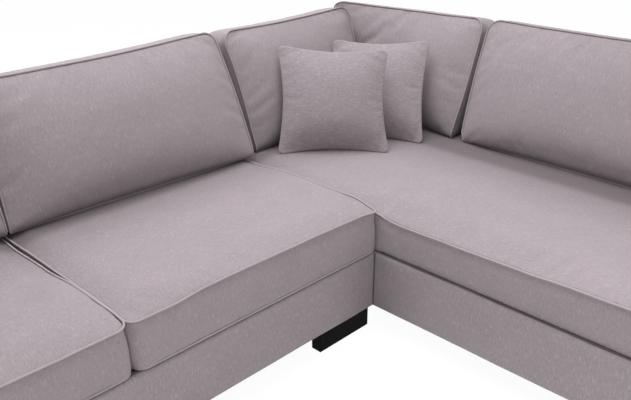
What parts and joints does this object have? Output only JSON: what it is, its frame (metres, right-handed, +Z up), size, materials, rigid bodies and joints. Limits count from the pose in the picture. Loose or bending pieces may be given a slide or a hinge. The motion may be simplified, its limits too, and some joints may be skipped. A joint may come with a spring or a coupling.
{
  "type": "corner sofa",
  "caption": "L-shaped corner sofa with loose box seat cushions, loose leaning back cushions, scatter cushions, one box arm and an open end, on black block feet.",
  "frame": {"origin": "on the floor, under the middle of the bounding box of the whole sofa at rest", "axes": "+X along the left wing from the arm towards the corner, +Y from the open front towards the left wing's back, +Z up; the right wing reaches towards -Y"},
  "size_m": [3.1606, 1.9996, 0.9189],
  "materials": {
    "seat_fabric": "matt woven chenille, taupe grey with fine light and dark slubs",
    "back_fabric": "matt woven chenille, taupe grey with fine light and dark slubs",
    "scatter_fabric": "matt woven chenille, taupe grey with fine horizontal slubs",
    "base_fabric": "matt woven chenille, taupe grey with fine light and dark slubs",
    "lining_cloth": "black non-woven lining",
    "webbing": "black elastic webbing",
    "seat_foam": "cream upholstery foam",
    "frame_timber": "raw softwood and plywood, planed",
    "foot_wood": "black stained, satin",
    "fitting_steel": "zinc plated"
  },
  "bodies": {
    "sofa_frame": {"left_front_rail": "frame_timber", "left_rear_rail": "frame_timber", "left_cross_rails": "frame_timber", "left_back_posts": "frame_timber", "left_top_rail": "frame_timber", "left_tail_rail": "frame_timber", "left_lumbar_rails": "frame_timber", "left_springs": "fitting_steel", "left_webbing": "webbing", "left_deck_pad": "lining_cloth", "left_dust_cover": "lining_cloth", "left_front_cover": "base_fabric", "left_back_pad": "base_fabric", "left_back_cover": "base_fabric", "left_back_end_cover": "base_fabric", "arm_frame_boards": "frame_timber", "arm_cover": "base_fabric", "arm_front_facing": "base_fabric", "arm_rear_facing": "base_fabric", "right_front_rail": "frame_timber", "right_rear_rail": "frame_timber", "right_cross_rails": "frame_timber", "right_back_posts": "frame_timber", "right_top_rail": "frame_timber", "right_tail_rail": "frame_timber", "right_lumbar_rails": "frame_timber", "right_springs": "fitting_steel", "right_webbing": "webbing", "right_deck_pad": "lining_cloth", "right_dust_cover": "lining_cloth", "right_front_cover": "base_fabric", "right_back_pad": "base_fabric", "right_back_cover": "base_fabric", "right_end_cover": "base_fabric", "right_back_end_cover": "base_fabric", "corner_posts": "frame_timber", "corner_rails": "frame_timber", "corner_back_pad": "base_fabric", "corner_back_cover": "base_fabric", "spring_clips": "fitting_steel", "joining_plates": "fitting_steel", "joining_screws": "fitting_steel", "inner_block_foot": "foot_wood", "block_feet": "foot_wood", "support_feet": "foot_wood", "foot_screws": "fitting_steel"},
    "seat_outer_left_body": {"seat_outer_left": "seat_fabric", "seat_core_outer_left": "seat_foam"},
    "seat_inner_left_body": {"seat_inner_left": "seat_fabric", "seat_core_inner_left": "seat_foam"},
    "seat_long_right_body": {"seat_long_right": "seat_fabric", "seat_core_long_right": "seat_foam"},
    "back_outer_left_body": {"back_outer_left": "back_fabric"},
    "back_inner_left_body": {"back_inner_left": "back_fabric"},
    "back_corner_left_body": {"back_corner_left": "back_fabric"},
    "back_corner_right_body": {"back_corner_right": "back_fabric"},
    "back_long_right_body": {"back_long_right": "back_fabric"},
    "scatter_front_body": {"scatter_front": "scatter_fabric"},
    "scatter_rear_body": {"scatter_rear": "scatter_fabric"}
  },
  "joints": [
    {"name": "seat_outer_left_slide_out", "type": "slide", "parent": "sofa_frame", "child": "seat_outer_left_body", "axis": [0, -1, 0], "range_m": [0, 0.85]},
    {"name": "seat_inner_left_slide_out", "type": "slide", "parent": "sofa_frame", "child": "seat_inner_left_body", "axis": [0, -1, 0], "range_m": [0, 0.85]},
    {"name": "seat_long_right_slide_out", "type": "slide", "parent": "sofa_frame", "child": "seat_long_right_body", "axis": [0, -1, 0], "range_m": [0, 1.85]},
    {"name": "back_outer_left_lift_off", "type": "slide", "parent": "sofa_frame", "child": "back_outer_left_body", "axis": [0, 0.3156, 0.9489], "range_m": [0, 0.5]},
    {"name": "back_inner_left_lift_off", "type": "slide", "parent": "sofa_frame", "child": "back_inner_left_body", "axis": [0, -0.9903, 0.1392], "range_m": [0, 0.5]},
    {"name": "back_corner_left_lift_off", "type": "slide", "parent": "sofa_frame", "child": "back_corner_left_body", "axis": [0, 0.3156, 0.9489], "range_m": [0, 0.5]},
    {"name": "back_corner_right_lift_off", "type": "slide", "parent": "sofa_frame", "child": "back_corner_right_body", "axis": [0.3156, 0, 0.9489], "range_m": [0, 0.5]},
    {"name": "back_long_right_lift_off", "type": "slide", "parent": "sofa_frame", "child": "back_long_right_body", "axis": [0.3156, 0, 0.9489], "range_m": [0, 0.5]},
    {"name": "scatter_front_lift_off", "type": "slide", "parent": "sofa_frame", "child": "scatter_front_body", "axis": [0.3015, 0.3015, 0.9045], "range_m": [0, 0.5]},
    {"name": "scatter_rear_lift_off", "type": "slide", "parent": "sofa_frame", "child": "scatter_rear_body", "axis": [0.3015, 0.3015, 0.9045], "range_m": [0, 0.5]}
  ]
}
